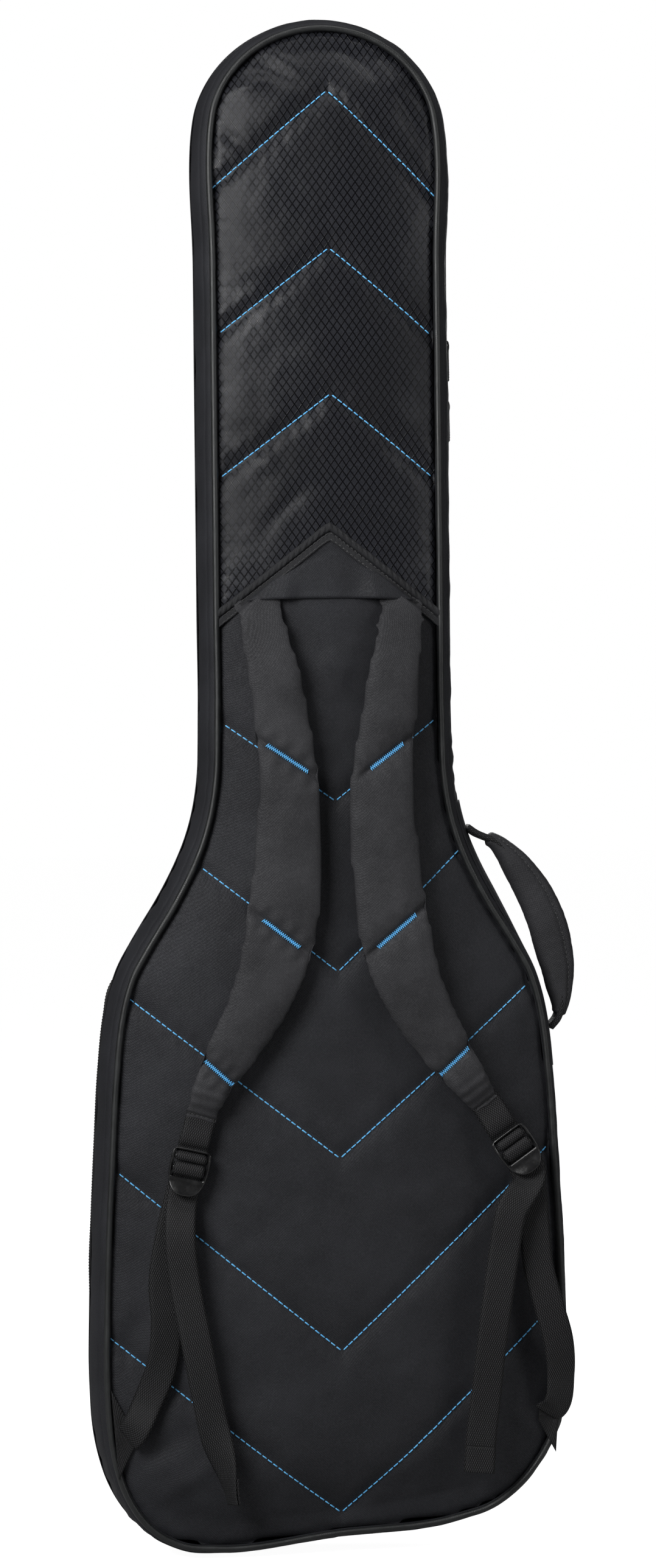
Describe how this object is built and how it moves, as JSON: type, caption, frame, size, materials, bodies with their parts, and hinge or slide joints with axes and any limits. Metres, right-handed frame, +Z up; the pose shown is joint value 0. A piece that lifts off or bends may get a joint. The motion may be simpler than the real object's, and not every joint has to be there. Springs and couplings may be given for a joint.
{
  "type": "padded bass guitar gig bag",
  "caption": "Upright padded soft case for a bass guitar with a zipped lid, front pocket, carry handle and adjustable shoulder straps.",
  "frame": {"origin": "middle of the foot of the overall box, under the base of the bag", "axes": "+Z up the bag towards the head, -Y out of the back panel that carries the shoulder straps, +Y out of the front pocket, +X towards the carry handle"},
  "size_m": [0.4039, 0.1692, 1.261],
  "materials": {
    "ripstop": "quilted glossy dark grey ripstop",
    "panel_fabric": "matte black woven polyester",
    "gusset_fabric": "matte black woven polyester",
    "piping": "black coated piping with a low sheen",
    "binding": "black grosgrain tape",
    "strap_fabric": "soft matte black padded fabric",
    "webbing": "coarse black webbing",
    "buckle_plastic": "glossy black acetal",
    "zip_tape": "black woven zip tape with a coil",
    "zip_metal": "black enamelled zinc",
    "pull_rubber": "black moulded pull",
    "lining": "grey brushed plush",
    "guard": "black embossed rubberised patch"
  },
  "bodies": {
    "back_shell": {"lower_back_panel": "panel_fabric", "upper_back_panel": "ripstop", "back_lining": "lining", "seam_binding": "binding", "strap_yoke": "panel_fabric", "back_piping": "piping", "back_gusset_base": "gusset_fabric", "back_gusset_right": "gusset_fabric", "back_gusset_head": "gusset_fabric", "back_gusset_left": "gusset_fabric", "main_zip_tape_back": "zip_tape", "side_hinge_strip": "binding", "handle_patch": "binding", "left_side_tab": "webbing", "right_side_tab": "webbing", "headstock_guard": "guard", "bottom_guard": "guard"},
    "lid": {"front_panel": "panel_fabric", "front_lining": "lining", "bridge_guard": "guard", "front_piping": "piping", "front_gusset_base": "gusset_fabric", "front_gusset_right": "gusset_fabric", "front_gusset_head": "gusset_fabric", "front_gusset_left": "gusset_fabric", "main_zip_tape_front": "zip_tape", "pocket_wall_back": "gusset_fabric", "pocket_zip_tape_back": "zip_tape"},
    "pocket_front": {"pocket_wall_front": "gusset_fabric", "pocket_zip_tape_front": "zip_tape", "pocket_piping": "piping", "pocket_face": "panel_fabric"},
    "handle": {"handle_grip": "strap_fabric", "handle_webbing_upper": "webbing", "handle_webbing_lower": "webbing"},
    "main_upper_slider": {"main_upper_slider": "zip_metal"},
    "main_upper_pull": {"main_upper_pull": "pull_rubber"},
    "main_lower_slider": {"main_lower_slider": "zip_metal"},
    "main_lower_pull": {"main_lower_pull": "pull_rubber"},
    "pocket_left_slider": {"pocket_left_slider": "zip_metal"},
    "pocket_left_pull": {"pocket_left_pull": "pull_rubber"},
    "pocket_right_slider": {"pocket_right_slider": "zip_metal"},
    "pocket_right_pull": {"pocket_right_pull": "pull_rubber"},
    "left_strap": {"left_strap_pad": "strap_fabric", "left_strap_end": "webbing"},
    "left_buckle": {"left_ladder_lock": "buckle_plastic"},
    "left_tail": {"left_strap_tail": "webbing"},
    "left_webbing": {"left_lower_webbing": "webbing"},
    "right_strap": {"right_strap_pad": "strap_fabric", "right_strap_end": "webbing"},
    "right_buckle": {"right_ladder_lock": "buckle_plastic"},
    "right_tail": {"right_strap_tail": "webbing"},
    "right_webbing": {"right_lower_webbing": "webbing"}
  },
  "joints": [
    {"name": "lid_hinge", "type": "hinge", "parent": "back_shell", "child": "lid", "pos_m": [0.2011, 0.00964, 0.148], "axis": [0.0407, 0, -0.9992], "range_deg": [0, 100]},
    {"name": "pocket_hinge", "type": "hinge", "parent": "lid", "child": "pocket_front", "pos_m": [-0.0019, 0.06164, 0.1225], "axis": [-1, 0, 0], "range_deg": [0, 90]},
    {"name": "handle_swing", "type": "hinge", "parent": "back_shell", "child": "handle", "pos_m": [0.1126, -0.01636, 0.5925], "axis": [0.3749, 0, -0.9271], "range_deg": [-6, 20]},
    {"name": "main_upper_slider_travel", "type": "slide", "parent": "back_shell", "child": "main_upper_slider", "axis": [0, 0, 1], "range_m": [0, 0.1]},
    {"name": "main_upper_pull_swing", "type": "hinge", "parent": "main_upper_slider", "child": "main_upper_pull", "pos_m": [0.10739, 0.00964, 0.99], "axis": [0, -1, 0], "range_deg": [0, 150]},
    {"name": "main_lower_slider_travel", "type": "slide", "parent": "back_shell", "child": "main_lower_slider", "axis": [0, 0, -1], "range_m": [0, 0.08]},
    {"name": "main_lower_pull_swing", "type": "hinge", "parent": "main_lower_slider", "child": "main_lower_pull", "pos_m": [0.10739, 0.00964, 0.94], "axis": [0, -1, 0], "range_deg": [0, 150]},
    {"name": "pocket_left_slider_travel", "type": "slide", "parent": "lid", "child": "pocket_left_slider", "axis": [-1, 0, 0], "range_m": [0, 0.1]},
    {"name": "pocket_left_pull_swing", "type": "hinge", "parent": "pocket_left_slider", "child": "pocket_left_pull", "pos_m": [-0.0139, 0.06164, 0.4881], "axis": [0, 1, 0], "range_deg": [0, 150]},
    {"name": "pocket_right_slider_travel", "type": "slide", "parent": "lid", "child": "pocket_right_slider", "axis": [1, 0, 0], "range_m": [0, 0.1]},
    {"name": "pocket_right_pull_swing", "type": "hinge", "parent": "pocket_right_slider", "child": "pocket_right_pull", "pos_m": [0.0101, 0.06164, 0.4881], "axis": [0, -1, 0], "range_deg": [0, 150]},
    {"name": "left_strap_swing", "type": "hinge", "parent": "back_shell", "child": "left_strap", "pos_m": [-0.0619, -0.05736, 0.782], "axis": [-1, 0, 0], "range_deg": [0, 12]},
    {"name": "left_buckle_tilt", "type": "hinge", "parent": "left_strap", "child": "left_buckle", "pos_m": [-0.11935, -0.06836, 0.33554], "axis": [-0.9744, 0, 0.225], "range_deg": [0, 35]},
    {"name": "left_tail_swing", "type": "hinge", "parent": "left_buckle", "child": "left_tail", "pos_m": [-0.1284, -0.07486, 0.303], "axis": [-1, 0, 0], "range_deg": [0, 60]},
    {"name": "left_webbing_swing", "type": "hinge", "parent": "back_shell", "child": "left_webbing", "pos_m": [-0.1689, -0.05136, 0.108], "axis": [1, 0, 0], "range_deg": [0, 27]},
    {"name": "right_strap_swing", "type": "hinge", "parent": "back_shell", "child": "right_strap", "pos_m": [0.0571, -0.05736, 0.782], "axis": [-1, 0, 0], "range_deg": [0, 12]},
    {"name": "right_buckle_tilt", "type": "hinge", "parent": "right_strap", "child": "right_buckle", "pos_m": [0.13478, -0.06836, 0.34375], "axis": [-0.8192, 0, -0.5736], "range_deg": [0, 35]},
    {"name": "right_tail_swing", "type": "hinge", "parent": "right_buckle", "child": "right_tail", "pos_m": [0.1421, -0.07486, 0.307], "axis": [-1, 0, 0], "range_deg": [0, 60]},
    {"name": "right_webbing_swing", "type": "hinge", "parent": "back_shell", "child": "right_webbing", "pos_m": [0.1761, -0.05136, 0.119], "axis": [1, 0, 0], "range_deg": [0, 27]}
  ],
  "couplings": [
    {"joint": "left_webbing_swing", "follows": "left_strap_swing", "ratio": 2.2},
    {"joint": "right_webbing_swing", "follows": "right_strap_swing", "ratio": 2.2}
  ]
}
